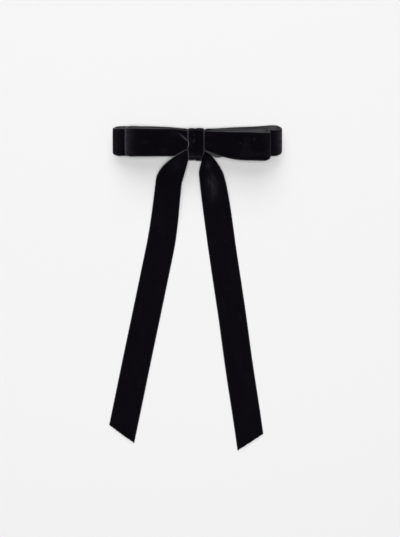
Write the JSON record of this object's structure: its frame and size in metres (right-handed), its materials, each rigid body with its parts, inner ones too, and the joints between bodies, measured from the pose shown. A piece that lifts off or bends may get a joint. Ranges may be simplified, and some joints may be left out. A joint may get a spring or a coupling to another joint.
{
  "type": "hair bow barrette",
  "caption": "Velvet ribbon hair bow with doubled loops, a wrapped knot and long slant-cut tails, sewn onto a spring-clasp barrette that opens and grips hair.",
  "frame": {"origin": "centre of the clasp arm's flat underside, straight below the knot, on the surface the bow lies on", "axes": "+Z out of the bow's face, -Y towards the tails, +X along the loops from the barrette's hinge to its catch"},
  "size_m": [0.1355, 0.2553, 0.0225],
  "materials": {
    "velvet": "black rayon velvet ribbon, satin back and woven selvedges",
    "felt": "black craft felt",
    "thread": "black polyester sewing thread",
    "nickel_steel": "nickel-plated stamped steel",
    "spring_steel": "bright tempered spring steel"
  },
  "bodies": {
    "bow": {"top_plate": "nickel_steel", "tension_bar": "spring_steel", "catch_block": "nickel_steel", "catch_rivet": "nickel_steel", "hinge_pin": "nickel_steel", "felt_pad": "felt", "pad_stitches": "thread", "back_loops": "velvet", "front_loops": "velvet", "gathering_thread": "thread", "knot_wrap": "velvet", "knot_stitches": "thread", "left_tail_neck": "velvet", "right_tail_neck": "velvet"},
    "clasp": {"clasp_arm": "nickel_steel"},
    "upper_pinch": {"upper_prong": "spring_steel"},
    "lower_pinch": {"lower_prong": "spring_steel"},
    "left_streamer": {"left_tail": "velvet"},
    "right_streamer": {"right_tail": "velvet"}
  },
  "joints": [
    {"name": "arm_hinge", "type": "hinge", "parent": "bow", "child": "clasp", "pos_m": [-0.033, 0, 0.0016], "axis": [0, 1, 0], "range_deg": [0, 70]},
    {"name": "upper_prong_pinch", "type": "hinge", "parent": "bow", "child": "upper_pinch", "pos_m": [0.0326, 0.003, 0.005], "axis": [-1, 0, 0], "range_deg": [0, 12], "stiffness_Nm_per_rad": 0.05},
    {"name": "lower_prong_pinch", "type": "hinge", "parent": "bow", "child": "lower_pinch", "pos_m": [0.0326, -0.003, 0.005], "axis": [1, 0, 0], "range_deg": [0, 12], "stiffness_Nm_per_rad": 0.05},
    {"name": "left_tail_bend", "type": "hinge", "parent": "bow", "child": "left_streamer", "pos_m": [-0.02155, -0.027, 0.0095], "axis": [-0.9757, 0.1961, 0.0981], "range_deg": [0, 60]},
    {"name": "right_tail_bend", "type": "hinge", "parent": "bow", "child": "right_streamer", "pos_m": [0.0113, -0.0225, 0.0076], "axis": [-0.9864, -0.1591, -0.0424], "range_deg": [0, 60]}
  ],
  "couplings": [
    {"joint": "lower_prong_pinch", "follows": "upper_prong_pinch", "ratio": 1}
  ]
}
